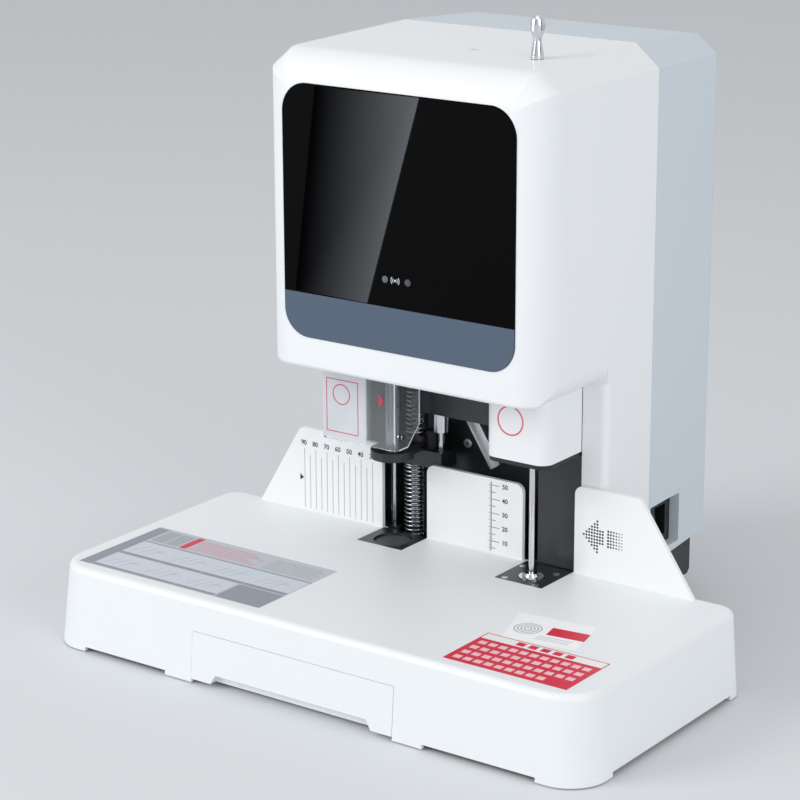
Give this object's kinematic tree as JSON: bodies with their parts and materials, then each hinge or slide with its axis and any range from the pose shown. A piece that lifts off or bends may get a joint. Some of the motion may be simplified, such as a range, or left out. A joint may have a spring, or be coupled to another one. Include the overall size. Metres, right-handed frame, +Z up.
{
  "type": "paper drill",
  "caption": "Desk machine with a touch panel that drills paper stacks and sets hot tube rivets, with gauge plates, a guard and a chip drawer.",
  "frame": {"origin": "on the floor under the middle of the overall box", "axes": "+X to the right of a person at the machine, +Y away from them towards the back, +Z up"},
  "size_m": [0.43, 0.335, 0.4306],
  "materials": {
    "white_plastic": "fine moulded texture, cool white",
    "grey_plastic": "fine moulded texture, pale blue grey",
    "white_paint": "smooth white coat on folded sheet",
    "black_panel": "high gloss black",
    "slate_panel": "high gloss slate",
    "black_paint": "satin black coat on steel",
    "dark_steel": "dark blued steel with grinding marks",
    "black_plastic": "satin black",
    "zinc_steel": "zinc plated sheet",
    "chrome": "polished chrome",
    "spring_steel": "bright spring wire",
    "tool_steel": "ground tool steel",
    "aluminium": "milled aluminium",
    "motor_paint": "black coated motor can",
    "brass": "turned brass",
    "port_plastic": "moulded white",
    "nylon": "dark grey nylon",
    "rubber": "black rubber",
    "clear_acrylic": "clear acrylic sheet"
  },
  "bodies": {
    "machine": {"back_frame": "black_paint", "base_cover": "white_plastic", "bed_frame": "zinc_steel", "centre_gauge": "white_paint", "chassis": "black_paint", "cover_rim": "black_plastic", "cutting_pad": "nylon", "display_panel": "black_panel", "drawer_rails": "zinc_steel", "drill_guard": "clear_acrylic", "drill_plate": "dark_steel", "feed_port": "port_plastic", "feed_tube": "port_plastic", "frame_screw": "zinc_steel", "front_bracket": "black_paint", "front_housing": "white_plastic", "guard_screws": "zinc_steel", "inlet_pins": "brass", "left_column": "chrome", "left_gauge": "white_paint", "lower_die": "chrome", "lower_spring": "spring_steel", "needle_bush": "brass", "panel_stripe": "slate_panel", "plate_screws": "zinc_steel", "power_inlet": "black_plastic", "power_plate": "black_plastic", "ram_posts": "zinc_steel", "rear_housing": "grey_plastic", "right_column": "chrome", "right_gauge": "white_paint", "rivet_cover": "white_plastic", "rivet_plate": "dark_steel", "rivet_shroud": "black_paint", "rubber_feet": "rubber", "spring_rod": "chrome", "tube_chute": "zinc_steel"},
    "drill_head": {"drill_carriage": "aluminium", "drill_motor": "motor_paint", "drive_belt": "rubber"},
    "drill_spindle_group": {"drill_spindle": "tool_steel", "drill_chuck": "tool_steel", "hollow_bit": "tool_steel", "spindle_pulley": "aluminium"},
    "motor_rotor": {"motor_shaft": "tool_steel", "motor_pulley": "aluminium"},
    "presser": {"presser_foot": "black_paint", "presser_bush": "chrome", "foot_buffer": "rubber", "upper_spring": "spring_steel"},
    "rivet_ram": {"ram_slider": "aluminium", "hot_ram": "tool_steel"},
    "needle": {"guide_needle": "chrome", "needle_knob": "chrome"},
    "drawer": {"chip_drawer": "white_plastic"},
    "rocker": {"power_rocker": "black_plastic"}
  },
  "joints": [
    {"name": "drill_feed", "type": "slide", "parent": "machine", "child": "drill_head", "axis": [0, 0, -1], "range_m": [0, 0.0653]},
    {"name": "spindle_spin", "type": "hinge", "parent": "drill_head", "child": "drill_spindle_group", "pos_m": [-0.0495, 0.0055, 0.225], "axis": [0, 0, 1], "continuous": true},
    {"name": "motor_spin", "type": "hinge", "parent": "drill_head", "child": "motor_rotor", "pos_m": [0.004, 0.0055, 0.33], "axis": [0, 0, 1], "continuous": true},
    {"name": "presser_slide", "type": "slide", "parent": "machine", "child": "presser", "axis": [0, 0, -1], "range_m": [0, 0.0577], "deforming": ["lower_spring", "upper_spring"]},
    {"name": "ram_slide", "type": "slide", "parent": "machine", "child": "rivet_ram", "axis": [0, 0, -1], "range_m": [0, 0.078]},
    {"name": "needle_lift", "type": "slide", "parent": "machine", "child": "needle", "axis": [0, 0, 1], "range_m": [0, 0.086]},
    {"name": "drawer_slide", "type": "slide", "parent": "machine", "child": "drawer", "axis": [0, -1, 0], "range_m": [0, 0.12]},
    {"name": "power_switch", "type": "hinge", "parent": "machine", "child": "rocker", "pos_m": [0.098, 0.08815, 0.0732], "axis": [0, 1, 0], "range_deg": [-8, 8]}
  ],
  "couplings": [
    {"joint": "presser_slide", "follows": "drill_feed", "ratio": 0.8836},
    {"joint": "motor_spin", "follows": "spindle_spin", "ratio": 1}
  ]
}
